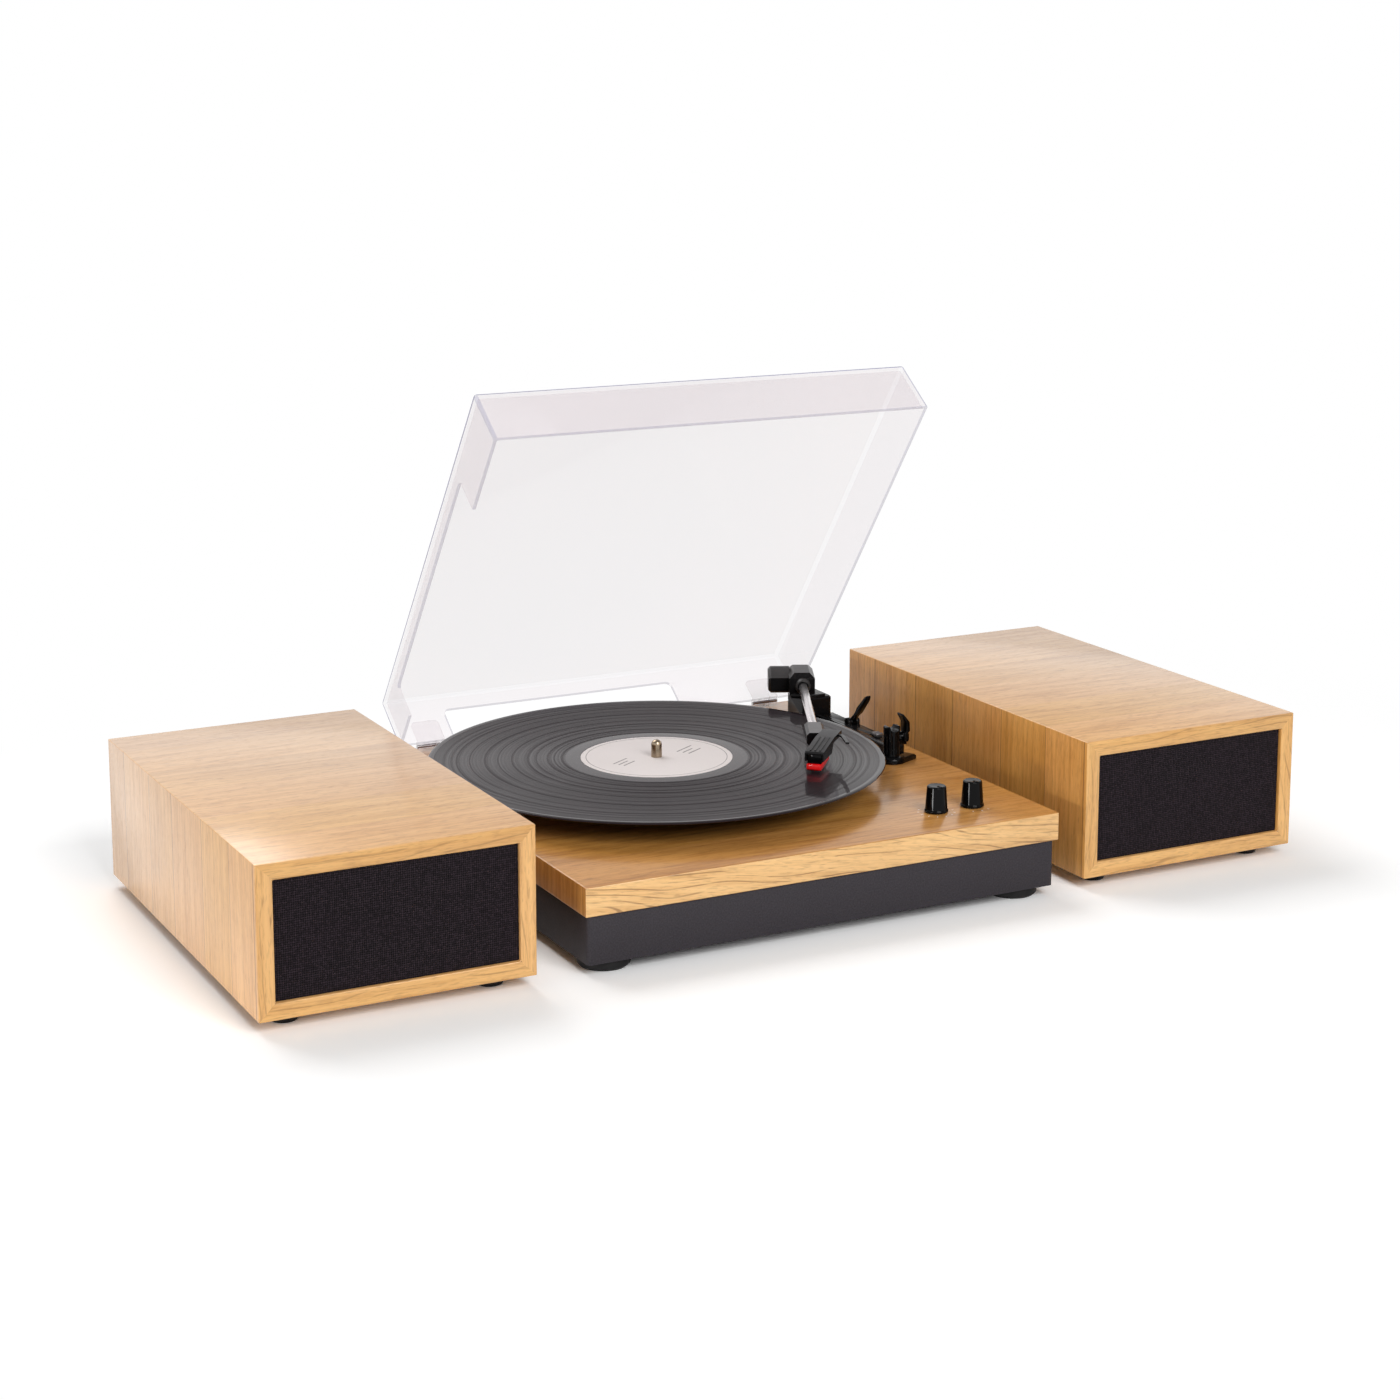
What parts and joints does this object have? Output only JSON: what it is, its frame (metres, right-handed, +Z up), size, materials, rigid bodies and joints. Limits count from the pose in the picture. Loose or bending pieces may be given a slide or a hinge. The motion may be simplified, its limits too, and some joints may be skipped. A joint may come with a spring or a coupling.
{
  "type": "record player",
  "caption": "Belt-drive record player with an oak deck, hinged clear dust cover, straight tonearm and a matching pair of loudspeakers with cloth grilles.",
  "frame": {"origin": "on the table under the middle of the deck", "axes": "+X to the right seen from the front, +Y to the rear, +Z up"},
  "size_m": [0.714, 0.3518, 0.3198],
  "materials": {
    "oak": "satin oak veneer",
    "black_base": "fine textured black",
    "foot_rubber": "matt",
    "steel": "plain steel",
    "spindle_steel": "polished",
    "brass": "turned",
    "circuit": "board",
    "socket_metal": "plated",
    "black_plastic": "satin",
    "gloss_black": "gloss",
    "switch_grey": "satin",
    "vinyl": "pressed vinyl",
    "label_paper": "uncoated",
    "clear": "clear",
    "arm_silver": "satin",
    "headshell_grey": "satin",
    "stylus_red": "gloss",
    "grille_black": "woven",
    "baffle_board": "plain board",
    "cone_paper": "pressed"
  },
  "bodies": {
    "deck": {"top_board": "oak", "base_box": "black_base", "bottom_panel": "black_base", "deck_feet": "foot_rubber", "case_screws": "steel", "bearing_bush": "brass", "motor_body": "steel", "motor_bracket": "steel", "drive_belt": "foot_rubber", "amp_board": "circuit", "jack_panel": "black_base", "rear_jacks": "socket_metal", "power_inlet": "black_plastic", "control_pots": "black_plastic", "hinge_brackets": "clear", "tonearm_plate": "black_plastic", "tonearm_base": "black_plastic", "arm_rest": "black_plastic"},
    "platter": {"platter": "black_plastic", "platter_mat": "foot_rubber", "spindle": "spindle_steel", "record": "vinyl", "record_label": "label_paper"},
    "pulley": {"motor_pulley": "brass", "motor_shaft": "steel"},
    "cover": {"dust_cover": "clear", "hinge_arms": "clear", "hinge_pins": "steel"},
    "arm_swivel": {"arm_yoke": "black_plastic"},
    "tonearm": {"pivot_axle": "steel", "pivot_housing": "black_plastic", "arm_tube": "arm_silver", "headshell": "headshell_grey", "cartridge": "gloss_black", "stylus_holder": "stylus_red"},
    "cue_lever": {"cue_lever": "black_plastic"},
    "lift_platform": {"lift_platform": "black_plastic"},
    "arm_clip": {"arm_clip": "black_plastic"},
    "volume_knob": {"volume_knob": "gloss_black", "volume_shaft": "steel"},
    "selector_knob": {"selector_knob": "gloss_black", "selector_shaft": "steel"},
    "speed_switch": {"speed_switch": "switch_grey"},
    "auto_stop_switch": {"auto_stop_switch": "switch_grey"},
    "left_speaker": {"left_cabinet": "oak", "left_grille_cloth": "grille_black", "left_grille_frame": "black_plastic", "left_front_baffle": "baffle_board", "left_woofer_basket": "steel", "left_woofer_cone": "cone_paper", "left_back_panel": "black_base", "left_speaker_feet": "foot_rubber"},
    "right_speaker": {"right_cabinet": "oak", "right_grille_cloth": "grille_black", "right_grille_frame": "black_plastic", "right_front_baffle": "baffle_board", "right_woofer_basket": "steel", "right_woofer_cone": "cone_paper", "right_back_panel": "black_base", "right_speaker_feet": "foot_rubber"}
  },
  "joints": [
    {"name": "cover_hinge", "type": "hinge", "parent": "deck", "child": "cover", "pos_m": [0, 0.1596, 0.0578], "axis": [-1, 0, 0], "range_deg": [-53.7, 12]},
    {"name": "platter_spin", "type": "hinge", "parent": "deck", "child": "platter", "pos_m": [-0.029, 0.016, 0.072], "axis": [0, 0, 1], "continuous": true},
    {"name": "pulley_spin", "type": "hinge", "parent": "deck", "child": "pulley", "pos_m": [-0.09285, 0.07985, 0.06], "axis": [0, 0, 1], "continuous": true},
    {"name": "tonearm_swing", "type": "hinge", "parent": "deck", "child": "arm_swivel", "pos_m": [0.1365, 0.115, 0.074], "axis": [0, 0, 1], "range_deg": [-14, 25]},
    {"name": "tonearm_lift", "type": "hinge", "parent": "arm_swivel", "child": "tonearm", "pos_m": [0.1365, 0.115, 0.0835], "axis": [-0.898, 0.4399, 0], "range_deg": [0, 1.2]},
    {"name": "cue_lever_turn", "type": "hinge", "parent": "deck", "child": "cue_lever", "pos_m": [0.1488, 0.064, 0.063], "axis": [-1, 0, 0], "range_deg": [0, 30]},
    {"name": "lift_platform_rise", "type": "slide", "parent": "deck", "child": "lift_platform", "axis": [0, 0, 1], "range_m": [0, 0.00065]},
    {"name": "arm_clip_turn", "type": "hinge", "parent": "deck", "child": "arm_clip", "pos_m": [0.1436, -0.013, 0.07], "axis": [0, -1, 0], "range_deg": [-25, 10]},
    {"name": "volume_turn", "type": "hinge", "parent": "deck", "child": "volume_knob", "pos_m": [0.097, -0.1276, 0.06], "axis": [0, 0, 1], "range_deg": [-140, 140]},
    {"name": "selector_turn", "type": "hinge", "parent": "deck", "child": "selector_knob", "pos_m": [0.124, -0.1276, 0.06], "axis": [0, 0, 1], "range_deg": [-30, 30]},
    {"name": "speed_switch_slide", "type": "slide", "parent": "deck", "child": "speed_switch", "axis": [0, 1, 0], "range_m": [0, 0.004]},
    {"name": "auto_stop_slide", "type": "slide", "parent": "deck", "child": "auto_stop_switch", "axis": [0, 1, 0], "range_m": [0, 0.004]},
    {"name": "left_speaker_place", "type": "slide", "parent": "deck", "child": "left_speaker", "axis": [-1, 0, 0], "range_m": [0, 0.25]},
    {"name": "right_speaker_place", "type": "slide", "parent": "deck", "child": "right_speaker", "axis": [1, 0, 0], "range_m": [0, 0.25]}
  ],
  "couplings": [
    {"joint": "pulley_spin", "follows": "platter_spin", "ratio": 21.25},
    {"joint": "cue_lever_turn", "follows": "tonearm_lift", "ratio": 25},
    {"joint": "lift_platform_rise", "follows": "tonearm_lift", "m_per_rad": 0.03}
  ]
}
